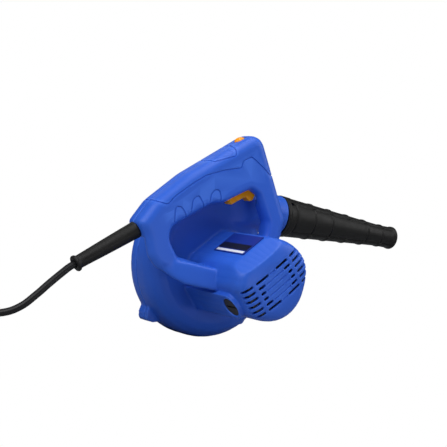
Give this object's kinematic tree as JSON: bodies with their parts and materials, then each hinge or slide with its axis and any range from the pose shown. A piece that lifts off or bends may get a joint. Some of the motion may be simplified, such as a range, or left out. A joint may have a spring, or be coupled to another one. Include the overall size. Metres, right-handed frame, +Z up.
{
  "type": "hand-held electric blower",
  "caption": "Hand-held mains blower with a D-handle, side-mounted motor, scroll fan casing, orange trigger and a ribbed rubber nozzle; also draws dust through its round intake.",
  "frame": {"origin": "middle of the footprint, at the level of the lowest point of the fan casing, without the lead and plug", "axes": "+X the way the blast leaves, +Y from the motor towards the air intake, +Z up"},
  "size_m": [0.5505, 0.276, 0.213],
  "materials": {
    "blue_shell": "fine satin grain, slightly soft sheen",
    "orange_control": "smooth moulded orange",
    "black_rubber": "matte black rubber",
    "black_plastic": "satin black",
    "zinc_steel": "bright zinc plated",
    "bright_steel": "ground steel",
    "lamination": "varnished laminations",
    "copper": "enamelled copper",
    "brass": "plain brass",
    "carbon": "dull grey carbon",
    "label_face": "bare printed-label stock, dark blue"
  },
  "bodies": {
    "housing": {"motor_housing": "blue_shell", "handle_cover": "blue_shell", "fan_cover": "blue_shell", "intake_grille": "blue_shell", "bearing_brush_end": "bright_steel", "bearing_cup": "black_rubber", "bearing_fan_end": "bright_steel", "brush_cap_front": "black_plastic", "brush_cap_rear": "black_plastic", "brush_holder_front": "brass", "brush_holder_rear": "brass", "brush_spring_front": "bright_steel", "brush_spring_rear": "bright_steel", "carbon_brush_front": "carbon", "carbon_brush_rear": "carbon", "cord_coil": "black_rubber", "cord_lead": "black_rubber", "cord_tail": "black_rubber", "cover_screw_1": "zinc_steel", "cover_screw_2": "zinc_steel", "cover_screw_3": "zinc_steel", "cover_screw_4": "zinc_steel", "field_coil_bottom": "copper", "field_coil_top": "copper", "field_stator": "lamination", "handle_screw_1": "zinc_steel", "handle_screw_2": "zinc_steel", "handle_screw_3": "zinc_steel", "handle_screw_4": "zinc_steel", "label_plate": "label_face", "plug_body": "black_rubber", "plug_pin_1": "brass", "plug_pin_2": "brass", "strain_relief": "black_rubber", "switch_body": "black_plastic", "trigger_pin": "zinc_steel"},
    "rotor": {"rotor_shaft": "bright_steel", "rotor_core": "lamination", "rotor_winding_fan_end": "copper", "rotor_winding_brush_end": "copper", "commutator": "copper", "impeller": "black_plastic", "impeller_washer": "zinc_steel", "impeller_nut": "zinc_steel"},
    "trigger": {"trigger": "orange_control"},
    "lock_button": {"lock_button": "orange_control"},
    "nozzle": {"nozzle": "black_rubber"}
  },
  "joints": [
    {"name": "rotor_spin", "type": "hinge", "parent": "housing", "child": "rotor", "pos_m": [-0.02766, 0.03625, 0.06956], "axis": [0, 1, 0], "continuous": true},
    {"name": "trigger_pull", "type": "hinge", "parent": "housing", "child": "trigger", "pos_m": [-0.02416, 0.00025, 0.16106], "axis": [0, 1, 0], "range_deg": [0, 9], "stiffness_Nm_per_rad": 1, "springref_deg": -5.73},
    {"name": "lock_push", "type": "slide", "parent": "housing", "child": "lock_button", "axis": [0.342, 0, -0.9397], "range_m": [0, 0.0018], "stiffness_N_per_m": 1500, "springref_m": -0.001},
    {"name": "nozzle_twist", "type": "hinge", "parent": "housing", "child": "nozzle", "pos_m": [0.04204, 0.03625, 0.13986], "axis": [1, 0, 0], "range_deg": [0, 30]}
  ]
}
